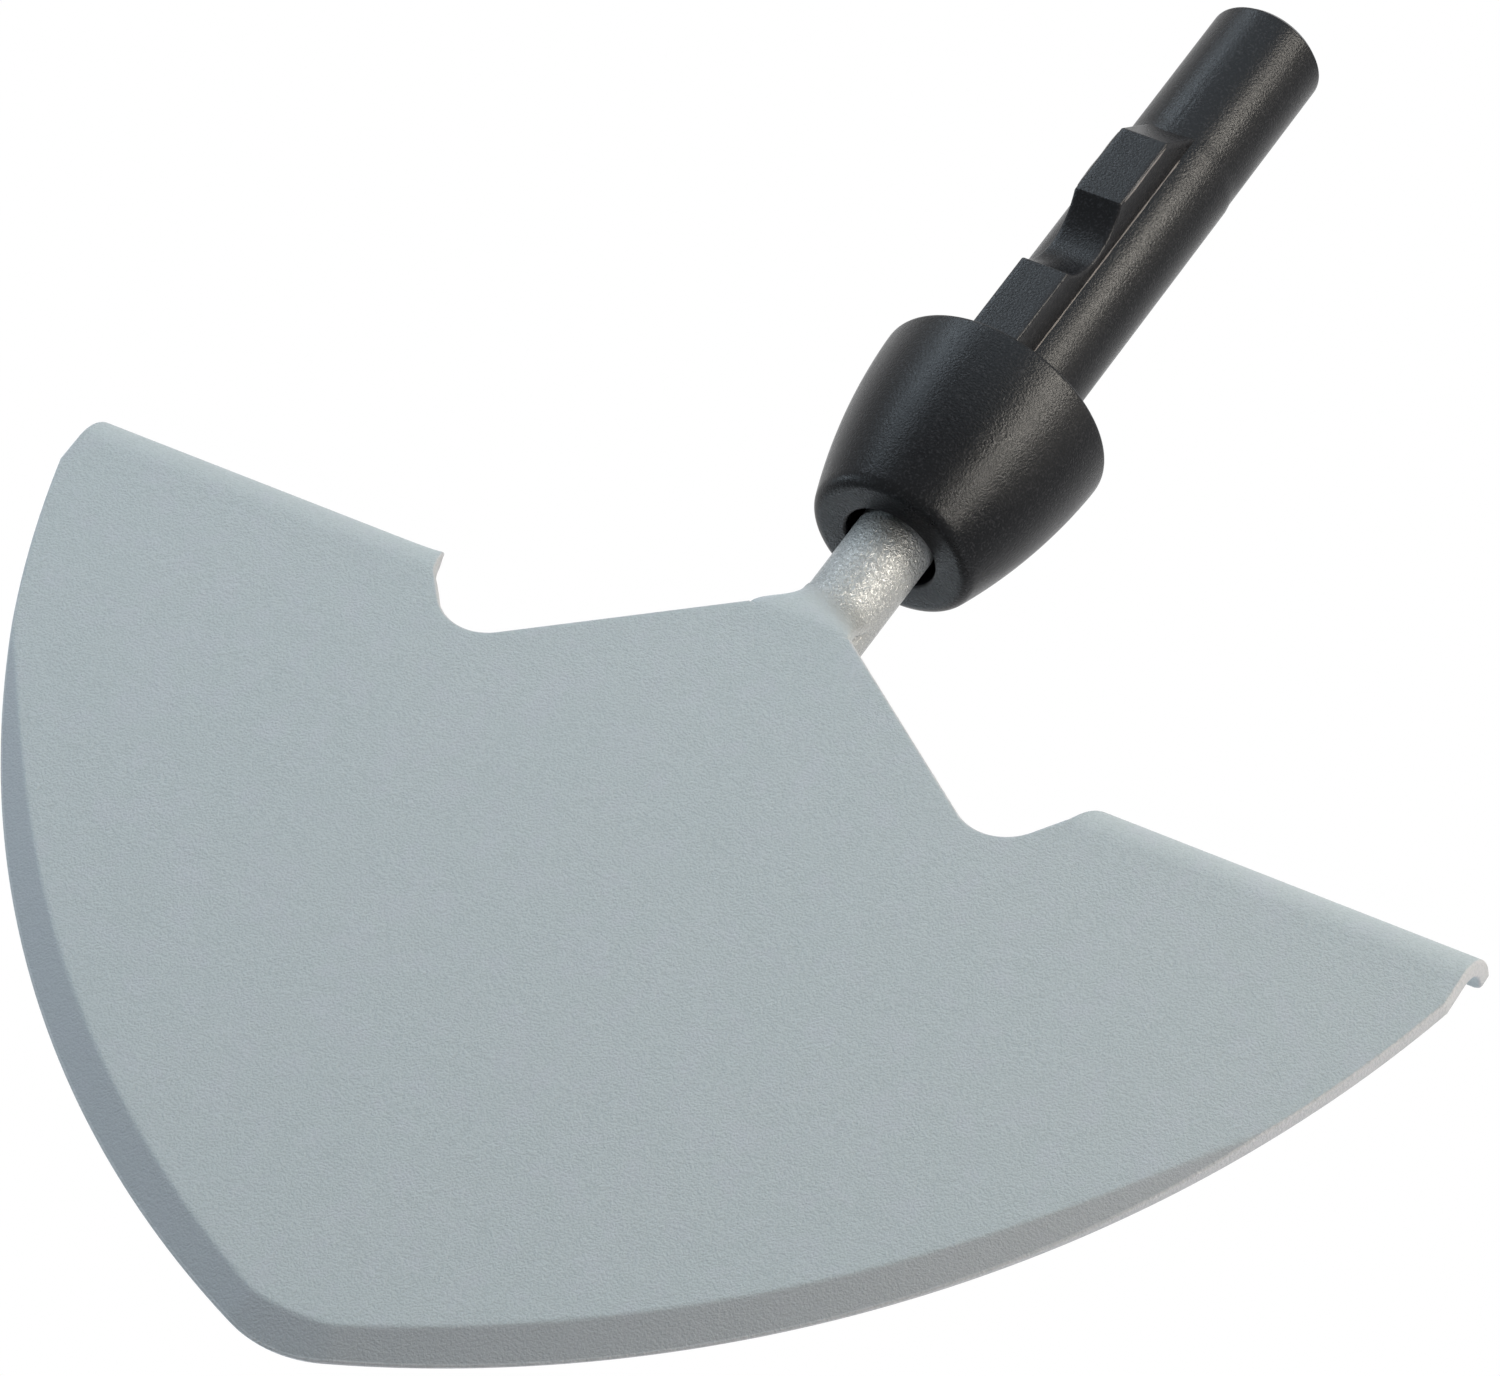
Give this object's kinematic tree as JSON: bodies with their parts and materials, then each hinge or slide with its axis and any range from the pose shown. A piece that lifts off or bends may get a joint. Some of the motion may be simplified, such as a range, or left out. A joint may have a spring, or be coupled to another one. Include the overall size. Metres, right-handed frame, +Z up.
{
  "type": "half moon edger head",
  "caption": "Half moon lawn edger head: bevelled sheet-steel blade with bent foot treads, welded to a round tang, with a black barrel collar and a keyed spigot for a push-on handle.",
  "frame": {"origin": "middle of the collar's top face, where the handle stops", "axes": "+Z up the spigot towards the handle, -Y out of the blade's front face (the side with the ground bevel), +X along the treads"},
  "size_m": [0.225, 0.0368, 0.2705],
  "materials": {
    "coated_steel": "satin grey powder coat with a fine wrinkle",
    "coated_weld": "smooth satin grey powder coat",
    "black_plastic": "satin black moulded plastic with a fine grain"
  },
  "bodies": {
    "root": {"blade": "coated_steel", "tang": "coated_steel", "front_weld": "coated_weld", "left_weld": "coated_weld", "right_weld": "coated_weld", "collar": "black_plastic", "spigot": "black_plastic"}
  },
  "joints": []
}
